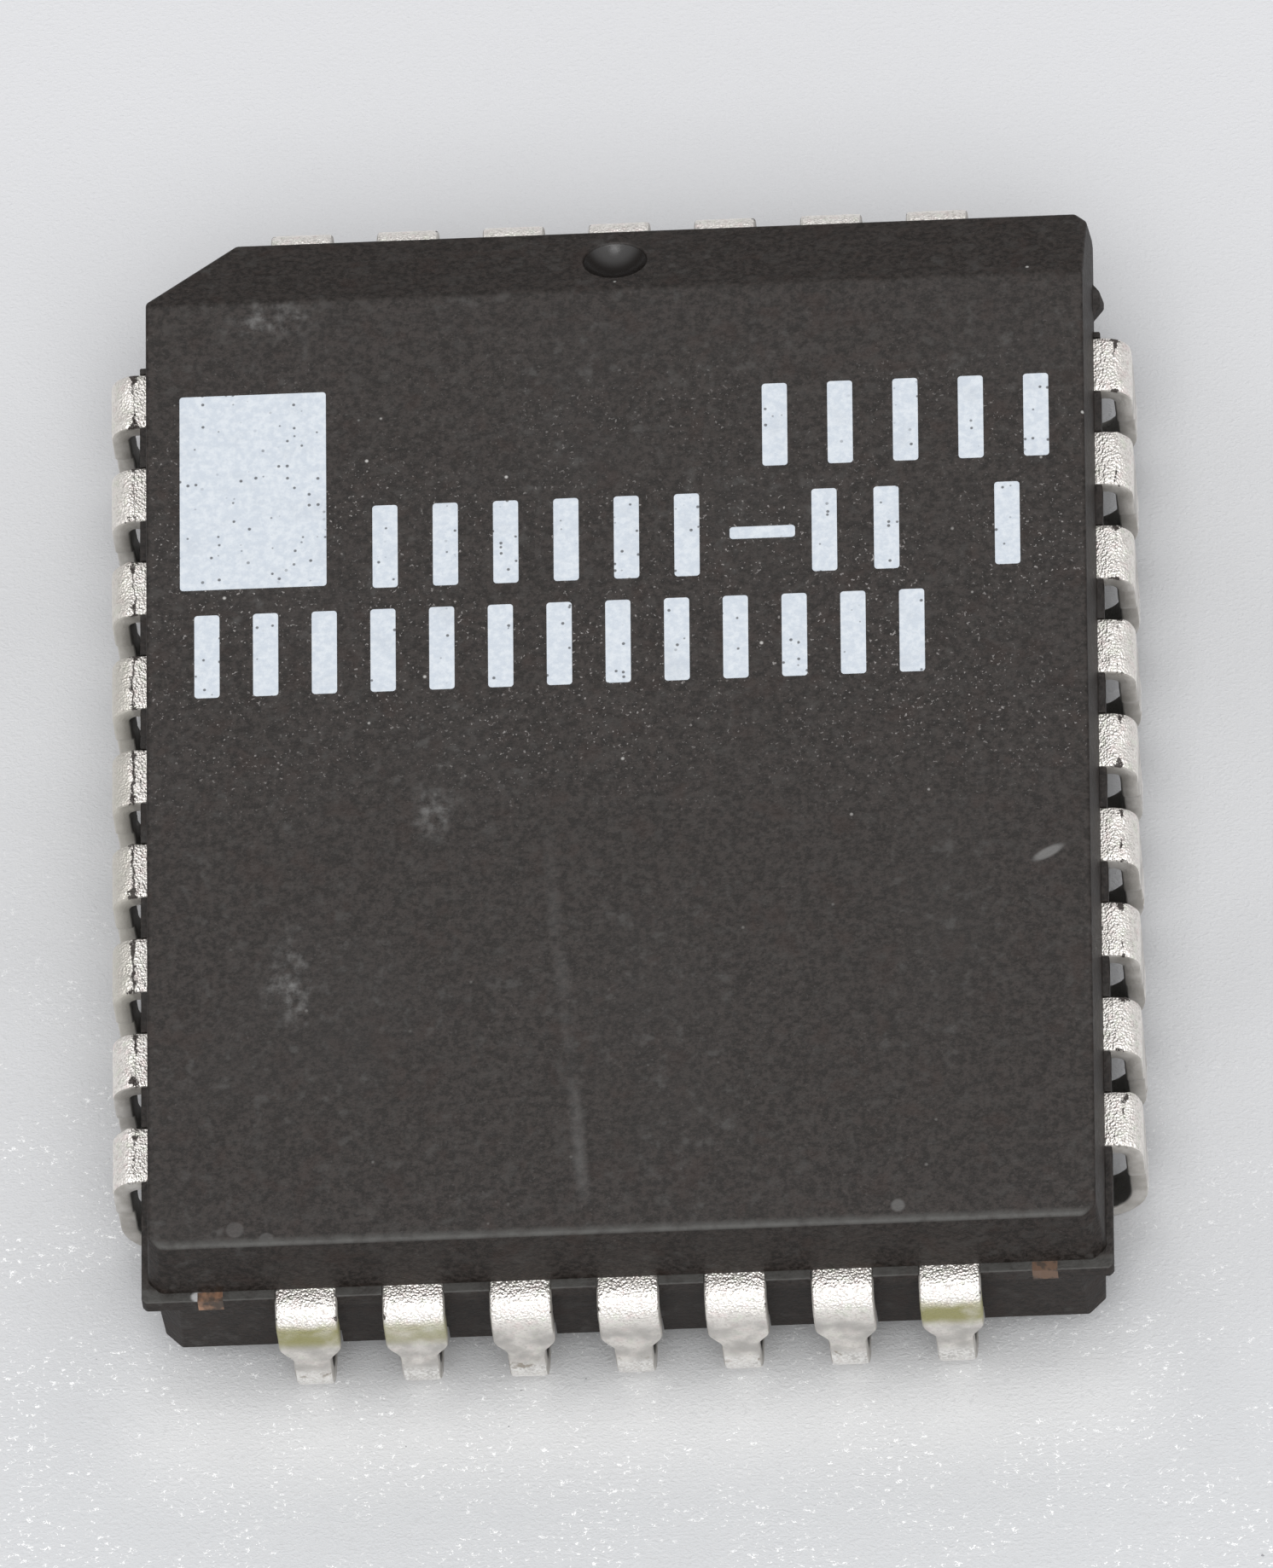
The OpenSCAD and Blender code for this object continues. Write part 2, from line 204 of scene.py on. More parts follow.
class Finish(Recipe):
    """A material whose patterns are laid out in the part's own millimetres."""

    def __init__(self, name, roughness=0.5, metallic=0.0):
        self.material = bpy.data.materials.new(name)
        self.material.use_nodes = True
        super().__init__(self.material.node_tree)
        self.shader = self.tree.nodes["Principled BSDF"]
        self.shader.inputs["Metallic"].default_value = metallic
        self.shader.inputs["Roughness"].default_value = roughness
        self.place = self.scaled(self.add("ShaderNodeTexCoord").outputs["Object"], 1 / MM)
        self.x, self.y, self.z = self.parts(self.place)

    def color(self, value):
        self.feed(self.shader.inputs["Base Color"], value)

    def roughness(self, value):
        self.feed(self.shader.inputs["Roughness"], value)

    def metallic(self, value):
        self.feed(self.shader.inputs["Metallic"], value)

    def attribute(self, name):
        return self.add("ShaderNodeAttribute", attribute_name=name).outputs["Fac"]

    def noise_at(self, shift, *settings):
        """Noise that differs from the plain one because its pattern is moved by a shift."""
        return self.noise(self.shifted(self.place, shift), *settings)

    def bump(self, height, deep, under=None):
        """Raises the surface by up to so many millimetres. Returns the normal for a further bump."""
        made = self.add("ShaderNodeBump", {"Height": height, "Distance": deep * MM})
        if under:
            self.feed(made.inputs["Normal"], under)
        self.feed(self.shader.inputs["Normal"], made.outputs[0])
        return made.outputs[0]

    def spot(self, x, y, across, along=None, turn=0.0, soft=0.5):
        """A soft oval on the top face: 1 in its middle and 0 outside."""
        centre = self.shifted(self.place, (-x, -y, 0))
        turned = self.add("ShaderNodeVectorRotate", {"Vector": centre, "Angle": math.radians(turn)},
                          rotation_type="Z_AXIS").outputs[0]
        px, py, _ = self.parts(turned)
        squeezed = self.joined(self.calc("DIVIDE", px, across / 2),
                               self.calc("DIVIDE", py, (along or across) / 2), 0.0)
        far = self.add("ShaderNodeVectorMath", {0: squeezed}, operation="LENGTH").outputs["Value"]
        return self.ramp(far, 1.0, 1.0 - soft)


def moulding_finish():
    """Black epoxy moulding: mottled satin grain, glassy filler specks partly painted as glints, dust, a
    scratch, a polished dimple, and painted highlights and glints at its near edge and the fin's ends.
    """
    f = Finish("moulding_compound", roughness=0.5)
    grain = f.noise(f.place, 14.0, 3.0, 0.7)
    coarse = f.noise(f.place, 5.0, 3.0, 0.6)
    on_top = f.ramp(f.z, TOP_Z - 0.012, TOP_Z - 0.004)
    shade = epoxy_grain(f, grain, coarse)
    # Pale grains of filler, partly painted glints off them.
    shade = f.blend(f.times(filler_specks_and_glints(f, on_top), 0.7), shade, rgb(0.32, 0.3, 0.29))
    shade = f.blend(f.times(single_specks(f), 0.8), shade, rgb(0.5, 0.49, 0.47))
    # Marks of use on the top, and painted glints of dust specks by its near edge.
    shade = f.blend(f.times(top_wear_and_glints(f), on_top), shade, rgb(0.15, 0.147, 0.143))
    shade = near_edge_dust_and_highlights(f, shade, coarse)
    in_dimple = f.times(f.spot(0, HALF_L - 0.56, DIMPLE_ACROSS * 1.2, soft=0.2),
                        f.ramp(dimple_depth(f), 0.005, 0.03))
    f.color(f.blend(in_dimple, shade, rgb(0.01, 0.008, 0.007)))

    facing = f.add("ShaderNodeLayerWeight", {"Blend": 0.5}).outputs["Facing"]
    polish = f.times(in_dimple, f.ramp(facing, 0.1, 0.35, 0.5, -0.03))
    gloss = f.plus(f.ramp(facing, 0.15, 0.5, 0.345, 0.13), polish)
    f.feed(f.shader.inputs["Specular IOR Level"], gloss)
    f.roughness(f.minus(f.ramp(grain, 0.3, 0.7, 0.46, 0.6), f.times(in_dimple, 0.25)))
    relief = f.plus(f.times(coarse, 0.5), grain)
    f.bump(f.times(relief, f.ramp(in_dimple, 0.0, 1.0, 1.0, 0.2)), 0.012)
    return f.material


def epoxy_grain(f, grain, coarse):
    """Near black with a fine paler grain, brownish and greyish patches and a thin film of dust."""
    cloud = f.noise(f.place, 0.45, 2.0)
    hue = f.noise_at((4.0, 0, 0), 3.0, 2.0)
    shade = f.blend(f.ramp(grain, 0.36, 0.66), rgb(0.011, 0.0085, 0.007), rgb(0.036, 0.0295, 0.0265))
    shade = f.blend(f.ramp(coarse, 0.5, 0.7, 0.0, 0.5), shade, rgb(0.042, 0.038, 0.035))
    shade = f.blend(f.ramp(hue, 0.55, 0.72, 0.0, 0.3), shade, rgb(0.03, 0.017, 0.013))
    shade = f.blend(f.ramp(cloud, 0.45, 0.75, 0.0, 0.25), shade, rgb(0.031, 0.028, 0.026))
    dust = f.times(f.ramp(coarse, 0.56, 0.74), f.ramp(cloud, 0.42, 0.62))
    return f.blend(f.times(dust, 0.3), shade, rgb(0.085, 0.083, 0.08))


def filler_specks_and_glints(f, on_top):
    """Grains of filler, partly painted as their glints, from 0 to 1: most across the middle of the top, few
    elsewhere.
    """
    specks = f.ramp(f.noise_at((0, 9.0, 0), 24.0, 2.0, 0.6), 0.64, 0.7)
    patchy = f.ramp(f.noise(f.place, 1.1, 2.0), 0.35, 0.65, 0.2, 1.0)
    middle = f.times(f.ramp(f.y, -1.6, 0.2), f.ramp(f.y, 5.5, 2.5))
    share = f.plus(0.1, f.times(middle, on_top, 0.9))
    return f.times(specks, patchy, share)


def single_specks(f):
    """Larger grains of filler, each on its own and fewer toward the near end, from 0 to 1."""
    far, drawn = f.cells(f.shifted(f.place, (3.1, 1.7, 0.4)), 3.4)
    chosen = f.times(f.ramp(drawn[1], 0.8, 0.9), f.ramp(f.y, -3.0, 0.5, 0.2, 1.0))
    return f.times(f.ramp(far, 0.1, 0.03), chosen)


def near_edge_dust_and_highlights(f, shade, coarse):
    """Dust and a painted highlight along the near edge of the top, dust and painted light on the fin's ledge
    at both ends, and a pale crumb on the ledge painted as its glint.
    """
    broken = f.ramp(coarse, 0.3, 0.6, 0.5, 1.0)
    # Dust and a painted highlight along the rounded near edge of the top.
    rim = f.times(f.ramp(f.y, 0.2 - HALF_L, 0.1 - HALF_L), f.ramp(f.z, TOP_Z - 0.05, TOP_Z - 0.02))
    shade = f.blend(f.times(rim, broken), shade, rgb(0.068, 0.066, 0.062))
    on_ledge = f.times(f.ramp(f.z, SHOULDER_Z - 0.012, SHOULDER_Z - 0.004),
                       f.ramp(f.z, SHOULDER_Z + 0.012, SHOULDER_Z + 0.004))
    at_end = f.ramp(f.unsigned(f.y), HALF_L - 0.1, HALF_L - 0.03)
    # Dust and painted light: the fin's ledge at both ends made paler, lifting it out of the wall's shade.
    shade = f.blend(f.times(on_ledge, at_end, broken), shade, rgb(0.062, 0.06, 0.056))
    # A pale crumb on the ledge, painted as its blurred glint.
    crumb = f.times(f.spot(-5.09, -7.0, 0.2, 0.16), on_ledge)
    return f.blend(crumb, shade, rgb(0.4, 0.4, 0.4))


def dimple_depth(f):
    """How far below the slope's plane a point lies."""
    low, _ = slope_points()
    offset = f.shifted(f.place, -low)
    above = f.add("ShaderNodeVectorMath", {0: offset, 1: slope_facing()}, operation="DOT_PRODUCT")
    return f.times(above.outputs["Value"], -1.0)


def top_wear_and_glints(f):
    """How much the marks of use, and three dust specks painted as their blurred glints, cover the top face,
    from 0 to 1.
    """
    broken = f.noise_at((0, 0, 5.0), 1.6, 4.0, 0.7)
    blotched = f.times(f.ramp(broken, 0.42, 0.62), f.ramp(f.noise(f.place, 5.0, 4.0, 0.65), 0.38, 0.7))
    marks = [
        f.times(f.spot(5.1, -2.03, 0.16, 0.5, 62), 0.85),
        # Three pale discs by the near edge: dust specks painted as their blurred glints.
        f.times(f.spot(-4.57, -6.66, 0.24, soft=0.3), 0.25),
        f.times(f.spot(-4.2, -6.8, 0.2, soft=0.3), 0.3),
        f.times(f.spot(3.27, -6.66, 0.2, soft=0.4), 0.5),
        f.times(f.spot(-4.08, 5.55, 1.6, 0.8, soft=1.0), blotched),
        f.times(f.spot(-2.17, -1.16, 0.8, 1.1, soft=1.0), blotched),
        f.times(f.spot(-3.9, -3.4, 0.9, 1.8, soft=1.0), blotched),
    ]
    total = long_scratch(f, broken)
    for mark in marks:
        total = f.larger(total, mark)
    return total


def long_scratch(f, broken):
    """A faint rubbed line along the near half of the top, stronger toward its near end."""
    wobble = f.times(f.minus(f.noise(f.place, 1.2, 2.0), 0.5), 0.12)
    line_x = f.plus(f.plus(-0.99, f.times(f.y, -0.0875)), wobble)
    off = f.unsigned(f.minus(f.x, line_x))
    line = f.times(f.ramp(off, 0.13, 0.0, 0.0, 0.32), f.ramp(broken, 0.34, 0.6))
    stretch = f.times(f.ramp(f.y, -1.2, -2.4), f.ramp(f.y, -6.6, -6.2))
    return f.times(line, stretch, f.ramp(f.y, -4.2, -5.2, 0.5, 1.0))


def tin_finish():
    """Tin plating: coarse bright crystals, duller on the sheared edges, cracked at the shoulder's bend, with
    painted shade on the inner face.
    """
    f = Finish("tinned_lead", metallic=1.0)
    strip, outer = f.attribute("strip"), f.attribute("outer")
    between, drawn = f.cells(f.place, 34.0)
    fine = f.noise(f.place, 30.0, 3.0, 0.6)
    broad = f.noise(f.place, 3.5, 2.0)
    leg = f.ramp(strip, 0.35, 0.75)
    sheared = f.ramp(f.unsigned(f.attribute("across")), 0.95, 0.985)
    crack = plating_crack(f, outer)
    stained = lead_stain(f, broad)

    shade = tin_crystals(f, drawn[0])
    shade = leg_and_foot(f, shade, strip, leg, fine, broad)
    side_grey = f.blend(f.ramp(broad, 0.35, 0.7), rgb(0.45, 0.425, 0.39), rgb(0.64, 0.615, 0.58))
    shade = f.blend(sheared, shade, side_grey)
    past = f.times(f.ramp(f.attribute("from_crack"), 0.0, 0.06), f.ramp(f.attribute("cracked"), 0.7, 1.0))
    shade = f.blend(f.times(past, 0.7), shade, rgb(0.68, 0.65, 0.58))
    shade = f.blend(crack, shade, rgb(0.05, 0.04, 0.035))
    shade = f.blend(stained, shade, rgb(0.42, 0.4, 0.2))
    # Painted shade: the inner face of the strip is darkened.
    f.color(f.blend(f.ramp(outer, -0.6, -0.95, 0.0, 0.8), shade, rgb(0.3, 0.29, 0.27)))

    rough = f.plus(f.ramp(fine, 0.3, 0.7, 0.36, 0.52), f.times(f.larger(sheared, leg), 0.08))
    f.roughness(f.plus(rough, f.times(stained, 0.1)))
    f.metallic(f.minus(1.0, f.larger(crack, f.times(sheared, 0.35))))
    crisp = f.times(f.ramp(sheared, 0.0, 1.0, 1.0, 0.12), f.ramp(leg, 0.0, 1.0, 1.0, 0.3))
    under = f.bump(f.times(between, crisp), 0.013)
    f.bump(f.minus(fine, f.times(crack, 2.0)), 0.004, under)
    return f.material


def tin_crystals(f, tone):
    """Bright tin, each crystal its own tone, with faint pink and green tints."""
    tint = f.noise_at((7.0, 0, 0), 9.0, 1.0)
    shade = f.blend(f.ramp(tone, 0.0, 0.5, smooth=False), rgb(0.79, 0.75, 0.705), rgb(1.0, 0.96, 0.912))
    shade = f.blend(f.ramp(tint, 0.55, 0.75, 0.0, 0.4), shade, rgb(0.93, 0.78, 0.76))
    return f.blend(f.ramp(tint, 0.45, 0.28, 0.0, 0.3), shade, rgb(0.8, 0.88, 0.72))


def leg_and_foot(f, shade, strip, leg, fine, broad):
    """Dulls the leg, brightens the foot again and puts a few brown spots where the foot starts."""
    shade = f.blend(f.times(f.ramp(broad, 0.3, 0.7, 0.4, 1.0), leg), shade, rgb(0.53, 0.51, 0.485))
    foot = f.times(f.ramp(strip, 1.3, 1.55), f.ramp(fine, 0.4, 0.6, 0.2, 0.9))
    shade = f.blend(foot, shade, rgb(0.93, 0.92, 0.9))
    start = f.times(f.ramp(strip, 1.3, 1.4), f.ramp(strip, 1.62, 1.52))
    spots = f.times(start, f.ramp(f.noise_at((0, 0, 3.0), 7.0, 3.0), 0.58, 0.68))
    return f.blend(f.times(spots, 0.7), shade, rgb(0.3, 0.25, 0.19))


def plating_crack(f, outer):
    """The ragged dark line where forming has torn the plating, from 0 to 1."""
    wander = f.times(f.minus(f.noise(f.place, 3.0, 5.0, 0.65), 0.5), 0.12)
    off = f.unsigned(f.plus(f.attribute("from_crack"), wander))
    least = f.times(f.minus(f.attribute("cracked"), 0.82), 0.025)
    gaping = f.ramp(f.noise_at((0, 3.0, 0), 3.2, 5.0, 0.7), 0.5, 0.7)
    at_sides = f.ramp(f.unsigned(f.attribute("across")), 0.45, 0.95)
    torn = f.ramp(f.noise_at((5.0, 0, 0), 6.0, 5.0, 0.75), 0.46, 0.6)
    width = f.plus(f.plus(least, f.times(gaping, 0.028)), f.times(at_sides, torn, 0.07))
    line = f.ramp(f.minus(off, width), 0.006, -0.004)
    return f.times(line, f.ramp(outer, 0.3, 0.8))


def lead_stain(f, broad):
    """The olive band that some leads have below the shoulder, from 0 to 1."""
    top_edge = f.plus(f.z, f.times(broad, 0.16))
    band = f.times(f.ramp(f.z, 1.38, 1.66), f.ramp(top_edge, 2.12, 1.95))
    return f.times(band, f.attribute("stain"), f.ramp(broad, 0.2, 0.6, 0.55, 1.0))


def ink_finish():
    """White pad printed ink, slightly blue, with pinholes and thin patches."""
    f = Finish("marking_ink", roughness=0.6)
    far, drawn = f.cells(f.place, 11.0)
    pinhole = f.times(f.ramp(far, 0.26, 0.14), f.ramp(drawn[0], 0.72, 0.8))
    fine = f.noise(f.place, 14.0, 3.0, 0.6)
    thin = f.ramp(f.noise(f.place, 2.2, 3.0), 0.5, 0.78, 0.0, 0.3)
    shade = f.blend(f.ramp(fine, 0.35, 0.7), rgb(0.505, 0.55, 0.605), rgb(0.6, 0.637, 0.675))
    shade = f.blend(thin, shade, rgb(0.4, 0.43, 0.47))
    f.color(f.blend(f.times(pinhole, 0.85), shade, rgb(0.06, 0.06, 0.065)))
    f.roughness(f.ramp(fine, 0.3, 0.7, 0.5, 0.68))
    f.bump(f.minus(fine, pinhole), 0.006)
    return f.material


def copper_finish():
    """Copper alloy sheet, rolled along its length, tarnished at the cut ends and most at the right one."""
    f = Finish("copper_sheet", metallic=1.0)
    grain = f.joined(f.times(f.x, 12.0), f.times(f.y, 1.5), f.z)
    rolled = f.noise(grain, 2.5, 3.0)
    cut_end = f.ramp(f.unsigned(f.y), 6.7, 6.85)
    dusty = f.times(f.ramp(f.x, 0.0, 1.0), f.ramp(f.y, 0.0, -1.0, 0.0, 0.75))
    patch = f.ramp(f.noise_at((2.3, 0.8, 0), 6.5, 2.0), 0.3, 0.6)
    tarnish = f.times(f.larger(patch, dusty), cut_end)
    shade = f.blend(f.ramp(rolled, 0.35, 0.7), rgb(0.72, 0.4, 0.26), rgb(0.85, 0.52, 0.35))
    shade = f.blend(f.times(cut_end, 0.55), shade, rgb(0.16, 0.085, 0.045))
    f.color(f.blend(tarnish, shade, rgb(0.07, 0.05, 0.038)))
    f.roughness(f.plus(f.ramp(rolled, 0.3, 0.7, 0.3, 0.5), f.times(tarnish, 0.3)))
    f.metallic(f.minus(1.0, f.times(tarnish, 0.8)))
    f.bump(rolled, 0.004)
    return f.material


def adhesive_finish():
    """Silver filled die adhesive: grey paste with bright flakes."""
    f = Finish("die_adhesive", roughness=0.5, metallic=0.6)
    between, drawn = f.cells(f.place, 22.0)
    f.color(f.blend(drawn[0], rgb(0.42, 0.42, 0.41), rgb(0.75, 0.74, 0.72)))
    f.roughness(f.ramp(drawn[0], 0.0, 1.0, 0.35, 0.65))
    f.bump(between, 0.01)
    return f.material


def silicon_finish():
    """Polished silicon with the fine blocks and lanes of a memory array."""
    f = Finish("silicon", roughness=0.25, metallic=0.5)
    lane_x = f.ramp(f.calc("PINGPONG", f.x, 0.45), 0.05, 0.02)
    lane_y = f.ramp(f.calc("PINGPONG", f.y, 0.7), 0.06, 0.03)
    lane = f.larger(lane_x, lane_y)
    rows = f.ramp(f.calc("PINGPONG", f.y, 0.03), 0.01, 0.02)
    shade = f.blend(rows, rgb(0.1, 0.12, 0.19), rgb(0.18, 0.16, 0.22))
    f.color(f.blend(lane, shade, rgb(0.36, 0.38, 0.36)))
    f.roughness(f.ramp(f.noise(f.place, 8.0), 0.3, 0.7, 0.18, 0.32))
    f.bump(lane, 0.002)
    return f.material


def gold_finish():
    """Drawn gold wire."""
    f = Finish("gold_wire", metallic=1.0)
    drawn = f.noise(f.place, 40.0, 3.0)
    f.color(f.blend(f.ramp(drawn, 0.3, 0.7), rgb(0.9, 0.62, 0.24), rgb(1.0, 0.76, 0.36)))
    f.roughness(f.ramp(drawn, 0.3, 0.7, 0.18, 0.34))
    f.bump(drawn, 0.001)
    return f.material


def dress(obj, material):
    """Gives an object one material on all its faces."""
    obj.data.materials.clear()
    obj.data.materials.append(material)


def link(obj):
    bpy.context.scene.collection.objects.link(obj)
    return obj


def settle(name, source, move=Matrix.Identity(4)):
    """A plain mesh object at the origin, in metres, from one in millimetres with live modifiers."""
    bpy.context.view_layer.update()
    evaluated = source.evaluated_get(bpy.context.evaluated_depsgraph_get())
    mesh = bpy.data.meshes.new_from_object(evaluated)
    mesh.transform(Matrix.Scale(MM, 4) @ move)
    mesh.name = name
    return link(bpy.data.objects.new(name, mesh))


def mesh_object(name, bm):
    """An object made of a bmesh."""
    bmesh.ops.recalc_face_normals(bm, faces=bm.faces)
    mesh = bpy.data.meshes.new(name)
    bm.to_mesh(mesh)
    bm.free()
    return link(bpy.data.objects.new(name, mesh))


def convex_block(planes):
    """A block that starts large and is cut by planes, each a point and the direction it faces."""
    bm = bmesh.new()
    bmesh.ops.create_cube(bm, size=40)
    for point, facing in planes:
        everything = bm.verts[:] + bm.edges[:] + bm.faces[:]
        bmesh.ops.bisect_plane(bm, geom=everything, plane_co=point, plane_no=facing, clear_outer=True)
        rim = [edge for edge in bm.edges if edge.is_boundary]
        if rim:
            bmesh.ops.edgeloop_fill(bm, edges=rim)
    return bm


def rounded_block(name, planes, radius, crisp_z=None):
    """A block cut by planes, its edges rounded except any that lie level at one crisp height."""
    bm = convex_block(planes)
    bmesh.ops.dissolve_limit(bm, angle_limit=math.radians(0.5), verts=bm.verts, edges=bm.edges)
    share = bm.edges.layers.float.new("bevel_weight_edge")
    for edge in bm.edges:
        crisp = crisp_z is not None and all(abs(vert.co.z - crisp_z) < 0.001 for vert in edge.verts)
        nearly_flat = edge.calc_face_angle(0) < math.radians(20)
        edge[share] = 0.0 if crisp or nearly_flat else 1.0
    made = mesh_object(name, bm)
    rounding = made.modifiers.new("edges", "BEVEL")
    rounding.width = radius
    rounding.segments = 4
    rounding.limit_method = "WEIGHT"
    return made


def side_planes(half_w, half_l, height=0.0, draft=0.0):
    """The four sides, which lean in from a height by some draft; a negative draft leans them in downwards."""
    c, s = math.cos(draft), math.sin(draft)
    return [
        ((half_w, 0, height), (c, 0, s)),
        ((-half_w, 0, height), (-c, 0, s)),
        ((0, half_l, height), (0, c, s)),
        ((0, -half_l, height), (0, -c, s)),
    ]


def chamfer(half_w, half_l, x_way, y_way, cut, height=0.0, lean=0.0):
    """The plane that cuts one upright corner, leaning in above a height."""
    return (x_way * (half_w - cut), y_way * half_l, height), (x_way, y_way, lean)


def corner_planes(half_w, half_l, plain_cut, height=0.0, lean=0.0):
    """The chamfers of the four corners: three plain ones and the upright index chamfer beside lead 1."""
    plain = [chamfer(half_w, half_l, x_way, y_way, plain_cut, height, lean)
             for x_way, y_way in ((1, 1), (1, -1), (-1, -1))]
    return plain + [chamfer(half_w, half_l, -1, 1, INDEX_CUT)]


def level_planes(low, high):
    return [((0, 0, low), (0, 0, -1)), ((0, 0, high), (0, 0, 1))]


def slope_points():
    """Lower and upper edge of the slope over lead 1, in side view."""
    low_y = HALF_L - (TOP_Z - SHOULDER_Z - SLOPE_DROP) * math.tan(UPPER_DRAFT)
    return Vector((0, low_y, TOP_Z - SLOPE_DROP)), Vector((0, HALF_L - SLOPE_RUN, TOP_Z))


def slope_facing():
    low, high = slope_points()
    run = high - low
    return Vector((0, run.z, -run.y)).normalized()


def upper_block():
    """The upper half, upright beside the leads and drafted above them, with the slope over lead 1."""
    low, _ = slope_points()
    planes = side_planes(HALF_W, HALF_L, SHOULDER_Z, UPPER_DRAFT) + side_planes(HALF_W, HALF_L)
    planes += corner_planes(HALF_W, HALF_L, CORNER_CUT, SHOULDER_Z, 2 * math.tan(UPPER_DRAFT))
    planes += level_planes(SHEET_Z, TOP_Z)
    planes += [(low, slope_facing())]
    return rounded_block("upper_block", planes, EDGE_ROUND, SHEET_Z)


def fin_blocks():
    """The thin fin left between the leads and round the plain end."""
    far_w = row_half(FAR) + SHOULDER_W / 2 + FIN_PAST
    far_l = row_half(RIGHT) + SHOULDER_W / 2 + FIN_PAST
    out_w, out_l = HALF_W + FIN_SIDE, HALF_L + FIN_END
    height = level_planes(SHEET_Z, SHOULDER_Z)
    near_corners = [chamfer(out_w, out_l, x_way, -1, FIN_CUT) for x_way in (1, -1)]
    long_part = side_planes(out_w, out_l) + near_corners + [((0, far_l, 0), (0, 1, 0))] + height
    far_part = side_planes(far_w, out_l) + [((0, 0, 0), (0, -1, 0))] + height
    return [rounded_block("fin_long", long_part, FIN_ROUND), rounded_block("fin_far", far_part, FIN_ROUND)]


def lower_block():
    """The lower half, a step in from the upper one, reaching up behind the leads' shoulders."""
    half_w, half_l, inside_z = HALF_W - PARTING_STEP, HALF_L - PARTING_STEP, SHEET_Z + SHEET / 2
    planes = side_planes(half_w, half_l, SHEET_Z, -LOWER_DRAFT) + side_planes(half_w, half_l)
    planes += corner_planes(half_w, half_l, LOWER_CUT)
    planes += level_planes(STANDOFF, inside_z)
    return rounded_block("lower_block", planes, FIN_ROUND, inside_z)


def gate_block():
    """The torn stub of the gate, which tapers outward."""
    middle, taper = HALF_L - GATE_BACK, GATE_W * 0.4
    planes = [((HALF_W + GATE_OUT, 0, SHEET_Z), (1, 0, 0.25)), ((HALF_W - GATE_OUT, 0, 0), (-1, 0, 0))]
    for way in (1, -1):
        planes.append(((HALF_W, middle + way * GATE_W / 2, 0), (taper, way * GATE_OUT, 0)))
    planes += level_planes(SHEET_Z + 0.01, SHOULDER_Z - 0.01)
    return rounded_block("gate_block", planes, FIN_ROUND)


def row_half(side):
    return ((SIDE_COUNT if side % 2 == 0 else END_COUNT) - 1) / 2 * PITCH


def lead_places():
    """Number, side and distance along its row of every lead, from lead 1 in the middle of the far side."""
    places = []
    for side in (RIGHT, FAR, LEFT, NEAR):
        count = SIDE_COUNT if side % 2 == 0 else END_COUNT
        places += [(side, i * PITCH - row_half(side)) for i in range(count)]
    first = SIDE_COUNT + (END_COUNT - 1) // 2
    return [(n + 1, *places[(n + first) % len(places)]) for n in range(len(places))]


def lead_move(side, along):
    """Brings a lead from the shoulder line at the origin, outward along +X, to its place."""
    edge = HALF_W if side % 2 == 0 else HALF_L
    return Matrix.Rotation(math.pi / 2 * side, 4, "Z") @ Matrix.Translation((edge, along, 0))


def prism(bm, outline, half_width, move):
    """Adds a prism to a bmesh: an outline in X and Z, extruded to both sides of Y."""
    rings = []
    for side in (-1, 1):
        rings.append([bm.verts.new(move @ Vector((x, side * half_width, z))) for x, z in outline])
    near, far = rings
    bm.faces.new(near)
    bm.faces.new(far[::-1])
    for i in range(len(outline)):
        j = (i + 1) % len(outline)
        bm.faces.new([near[j], near[i], far[i], far[j]])


def sheet_slot(inner, outer):
    """Side view of an opening as high as the sheet."""
    return [(inner, SHEET_Z), (outer, SHEET_Z), (outer, SHOULDER_Z), (inner, SHOULDER_Z)]


def foot_pocket():
    """Side view of the pocket that a foot curls into, its inner corner cut off."""
    inner = REACH - FOOT_R - FOOT_R * math.sin(FOOT_CURL) - POCKET_GAP
    below, roof = STANDOFF - 0.2, STANDOFF + POCKET_H
    pocket = [(inner, below), (inner, STANDOFF + POCKET_H / 3), (inner + POCKET_H / 2, roof)]
    return pocket + [(REACH, roof), (REACH, below)]


def dimple_ball(bm):
    """Adds the ball that presses the dimple into the slope."""
    low, high = slope_points()
    radius = ((DIMPLE_ACROSS / 2) ** 2 + DIMPLE_DEEP ** 2) / (2 * DIMPLE_DEEP)
    centre = (low + high) / 2 + slope_facing() * (radius - DIMPLE_DEEP)
    bmesh.ops.create_uvsphere(bm, u_segments=96, v_segments=64, radius=radius,
                              matrix=Matrix.Translation(centre))


def opening_cutter():
    """All that is cut out of the moulding: slots, pockets, tie bar notches, dimple and pin print."""
    bm = bmesh.new()
    for _, side, along in lead_places():
        move = lead_move(side, along)
        prism(bm, foot_pocket(), POCKET_W / 2, move)
        prism(bm, sheet_slot(-0.3, REACH), SHOULDER_W / 2, move)
    for side in (FAR, NEAR):
        for along in (-TIE_X, TIE_X):
            prism(bm, sheet_slot(-0.2, 0.3), TIE_W / 2, lead_move(side, along))
    dimple_ball(bm)
    bmesh.ops.create_cone(bm, cap_ends=True, segments=96, radius1=PIN_R, radius2=PIN_R,
                          depth=2 * PIN_DEEP, matrix=Matrix.Translation((0, 0, STANDOFF)))
    return mesh_object("opening_cutter", bm)


def combine(obj, other, operation):
    step = obj.modifiers.new(operation, "BOOLEAN")
    step.operation = operation
    step.object = other
    step.solver = "EXACT"


def remove_slivers(bm, least):
    """Removes faces that have no area and fills what they leave open."""
    bmesh.ops.remove_doubles(bm, verts=bm.verts, dist=least)
    bmesh.ops.dissolve_degenerate(bm, edges=bm.edges, dist=least)
    loose = [edge for edge in bm.edges if not edge.link_faces]
    bmesh.ops.delete(bm, geom=loose, context="EDGES")
    bmesh.ops.holes_fill(bm, edges=[edge for edge in bm.edges if edge.is_boundary])


